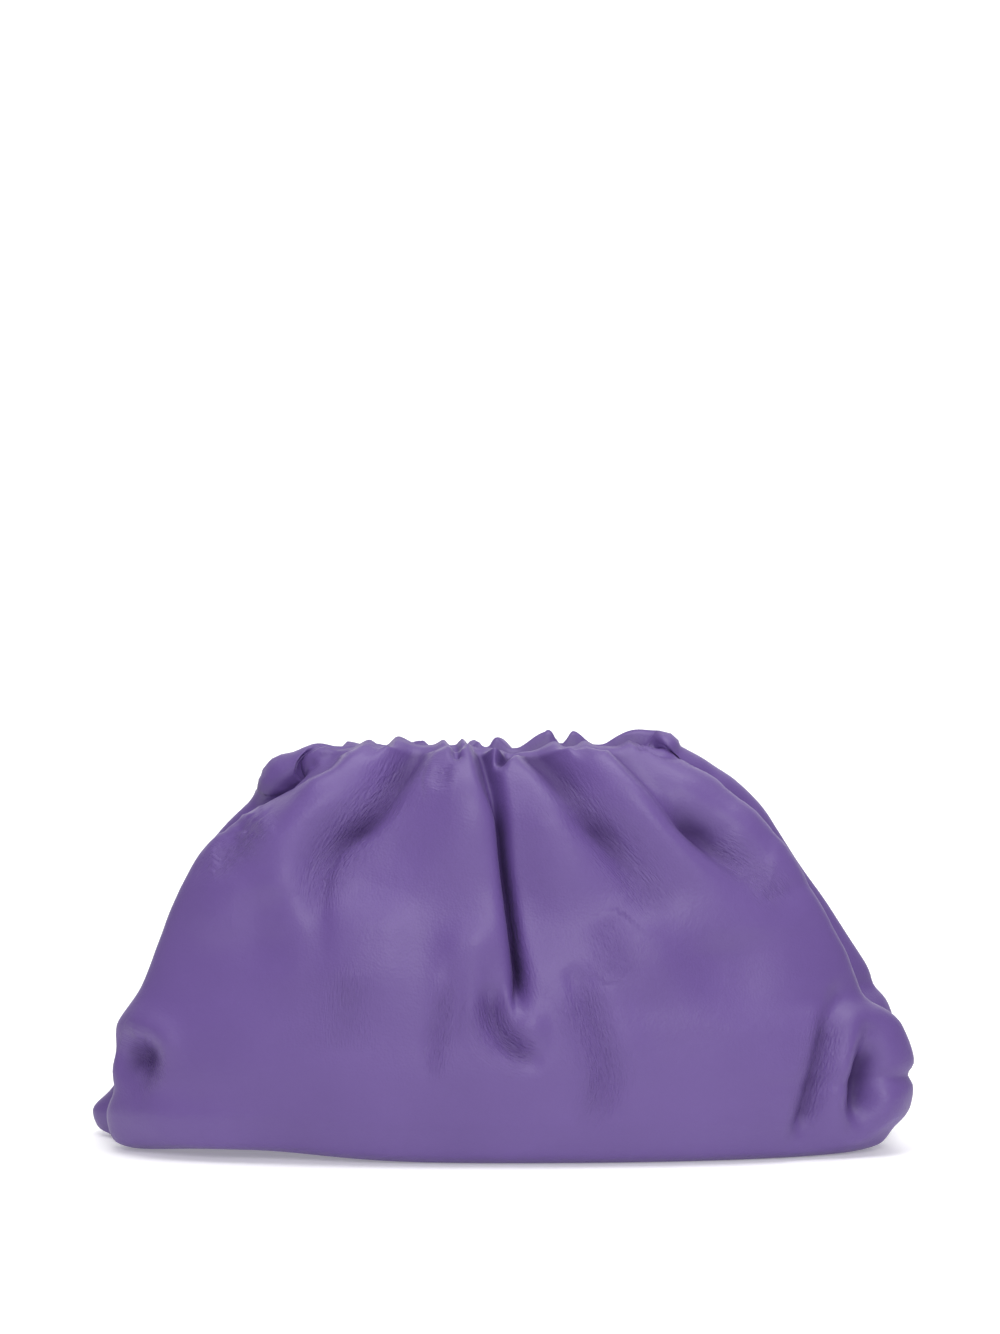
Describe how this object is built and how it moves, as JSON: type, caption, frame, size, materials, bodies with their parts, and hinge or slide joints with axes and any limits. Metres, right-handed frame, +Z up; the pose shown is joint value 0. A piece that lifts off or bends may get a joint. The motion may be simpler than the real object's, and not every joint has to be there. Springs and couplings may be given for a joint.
{
  "type": "gathered pouch clutch",
  "caption": "Soft leather pouch clutch, gathered into pleats on a flat steel frame hidden in its hem, standing on its full base.",
  "frame": {"origin": "bottom centre of the bag's box, on the surface that it stands on", "axes": "+X to the right of the bag as its front is seen, +Y from the front to the back, +Z up"},
  "size_m": [0.3632, 0.1202, 0.1844],
  "materials": {
    "leather": "soft nappa with a satin sheen",
    "frame_steel": "plain strip"
  },
  "bodies": {
    "root": {"front_panel": "leather", "back_panel": "leather", "mouth_frame": "frame_steel"}
  },
  "joints": []
}
